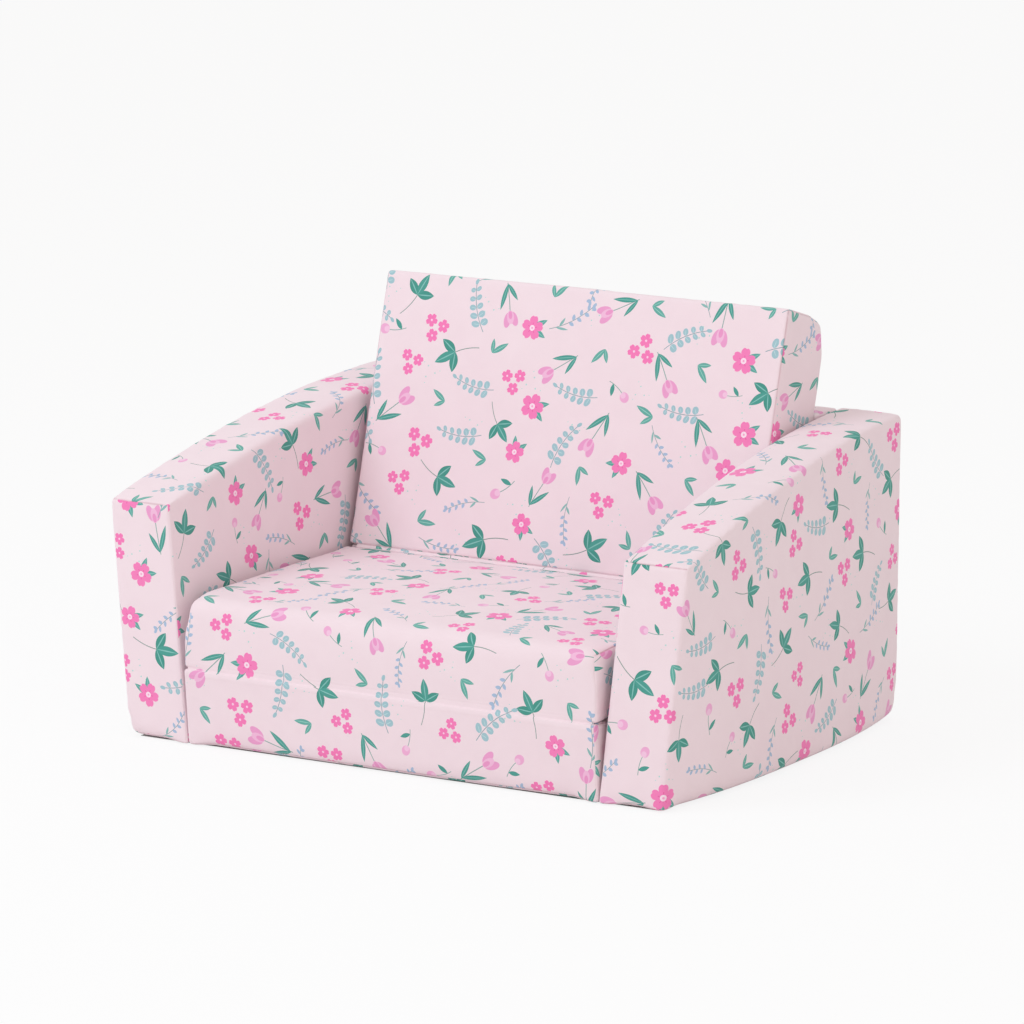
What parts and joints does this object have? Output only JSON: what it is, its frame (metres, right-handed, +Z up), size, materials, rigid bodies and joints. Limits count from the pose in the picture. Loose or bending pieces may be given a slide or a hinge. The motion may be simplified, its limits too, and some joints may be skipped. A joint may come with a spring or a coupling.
{
  "type": "kids flip open sofa",
  "caption": "Low foam armchair sofa for a small child, whose hinged seat pad and backrest flip forward to make a floor bed.",
  "frame": {"origin": "middle of the underside, on the floor, half way between the front and the rear of the arms", "axes": "+Z up, front of the sofa towards -Y, +X to the right seen from the front"},
  "size_m": [0.8612, 0.6388, 0.5542],
  "materials": {
    "printed_fabric": "brushed polyester with a scattered botanical print",
    "foam": "cut open-cell foam",
    "hinge_tape": "woven tape",
    "underside_felt": "non-woven felt",
    "zip_tape": "woven zip tape with a nylon coil",
    "zip_metal": "nickel plated"
  },
  "bodies": {
    "sofa_frame": {"left_arm_cover": "printed_fabric", "left_arm_foam": "foam", "right_arm_cover": "printed_fabric", "right_arm_foam": "foam", "base_cover": "printed_fabric", "base_foam": "foam", "rear_ledge_cover": "printed_fabric", "rear_ledge_foam": "foam", "rear_wall_cover": "printed_fabric", "rear_wall_foam": "foam", "underside_panel": "underside_felt", "front_hinge_strip": "hinge_tape", "frame_zip_tape": "zip_tape"},
    "seat_panel": {"seat_cover": "printed_fabric", "seat_foam": "foam", "seat_zip_tape": "zip_tape", "rear_hinge_welt": "printed_fabric"},
    "back_panel": {"back_cover": "printed_fabric", "back_foam": "foam", "back_zip_tape": "zip_tape"},
    "frame_zip_runner": {"frame_zip_slider": "zip_metal"},
    "frame_zip_tab": {"frame_zip_pull": "zip_metal"},
    "seat_zip_runner": {"seat_zip_slider": "zip_metal", "seat_zip_pull": "zip_metal"},
    "back_zip_runner": {"back_zip_slider": "zip_metal", "back_zip_pull": "zip_metal"}
  },
  "joints": [
    {"name": "seat_flip", "type": "hinge", "parent": "sofa_frame", "child": "seat_panel", "pos_m": [0, -0.32194, 0.1035], "axis": [1, 0, 0], "range_deg": [0, 180]},
    {"name": "back_unfold", "type": "hinge", "parent": "seat_panel", "child": "back_panel", "pos_m": [0, 0.07656, 0.1961], "axis": [-1, 0, 0], "range_deg": [0, 74.6]},
    {"name": "frame_zip_slide", "type": "slide", "parent": "sofa_frame", "child": "frame_zip_runner", "axis": [1, 0, 0], "range_m": [0, 0.482]},
    {"name": "frame_zip_pull_swing", "type": "hinge", "parent": "frame_zip_runner", "child": "frame_zip_tab", "pos_m": [-0.241, 0.31504, 0.055], "axis": [0, 0, 1], "range_deg": [0, 170]},
    {"name": "seat_zip_slide", "type": "slide", "parent": "seat_panel", "child": "seat_zip_runner", "axis": [1, 0, 0], "range_m": [0, 0.482]},
    {"name": "back_zip_slide", "type": "slide", "parent": "back_panel", "child": "back_zip_runner", "axis": [0, 0.2656, 0.9641], "range_m": [0, 0.232]}
  ],
  "couplings": [
    {"joint": "back_unfold", "follows": "seat_flip", "ratio": 0.41444}
  ]
}
